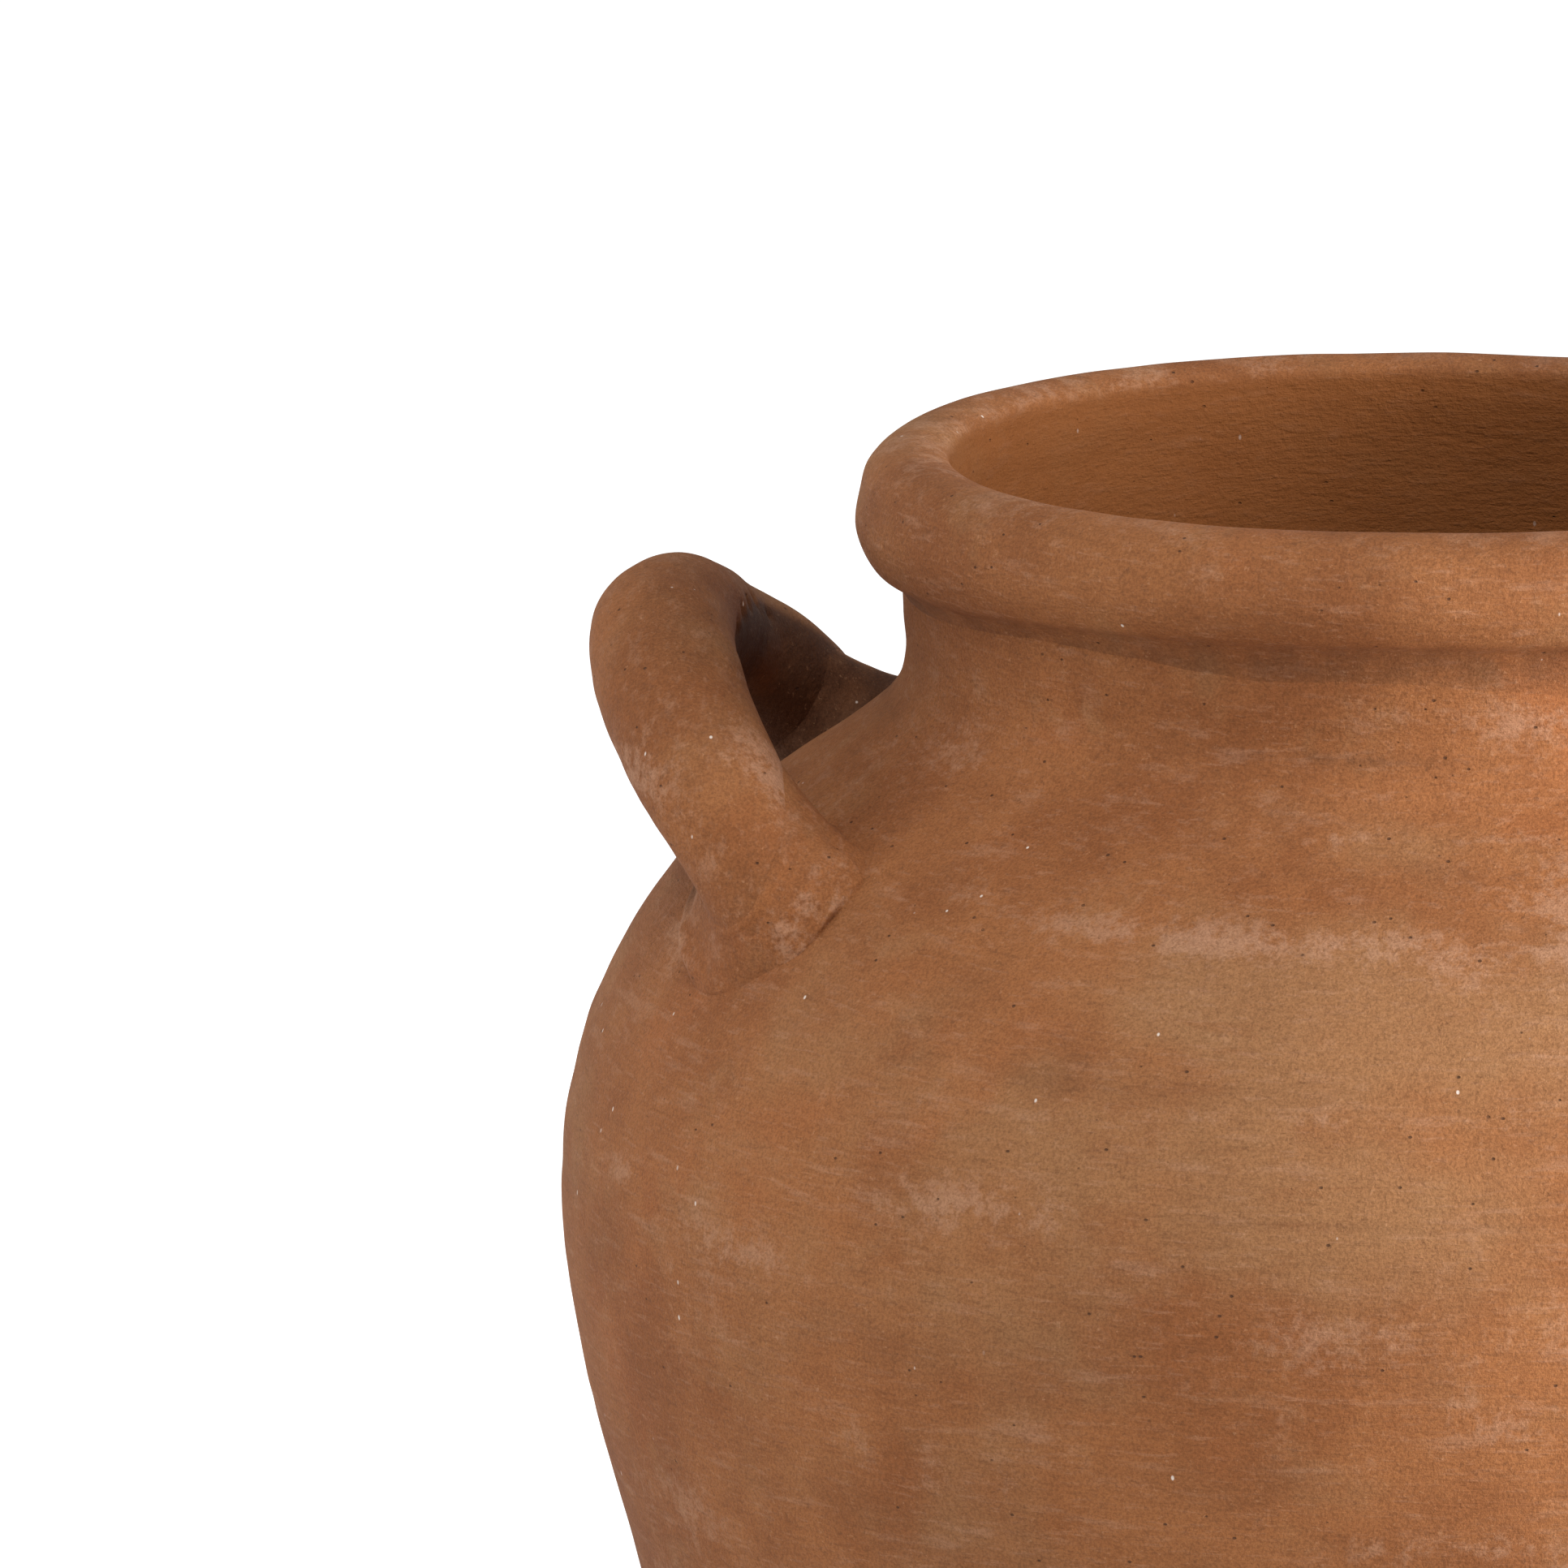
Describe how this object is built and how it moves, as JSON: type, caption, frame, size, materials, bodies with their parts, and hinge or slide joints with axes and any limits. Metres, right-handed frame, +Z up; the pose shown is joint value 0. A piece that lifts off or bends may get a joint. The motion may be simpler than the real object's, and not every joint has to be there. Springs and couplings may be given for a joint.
{
  "type": "two-handled clay amphora",
  "caption": "Large unglazed clay amphora with a rolled rim, a short neck, round loop handles on the shoulder and a tapering foot.",
  "frame": {"origin": "centre of the resting face under the foot, on the jar's axis", "axes": "+Z up along the jar's axis; +X towards the right handle and -X towards the left handle; +Y to the back"},
  "size_m": [0.41, 0.41, 0.56],
  "materials": {
    "wall_clay": "unglazed matte terracotta with a fine sandy grain, wiping lines and a pale bloom",
    "collar_clay": "unglazed matte terracotta, greyer and paler on the lip",
    "handle_clay": "unglazed matte terracotta, hand smoothed",
    "luting_clay": "unglazed matte terracotta, smeared by hand with a rough edge"
  },
  "bodies": {
    "root": {"base_slab": "wall_clay", "lower_wall": "wall_clay", "belly_wall": "wall_clay", "shoulder_wall": "wall_clay", "neck": "wall_clay", "rim_collar": "collar_clay", "left_handle": "handle_clay", "right_handle": "handle_clay", "left_front_luting": "luting_clay", "left_back_luting": "luting_clay", "right_front_luting": "luting_clay", "right_back_luting": "luting_clay"}
  },
  "joints": []
}
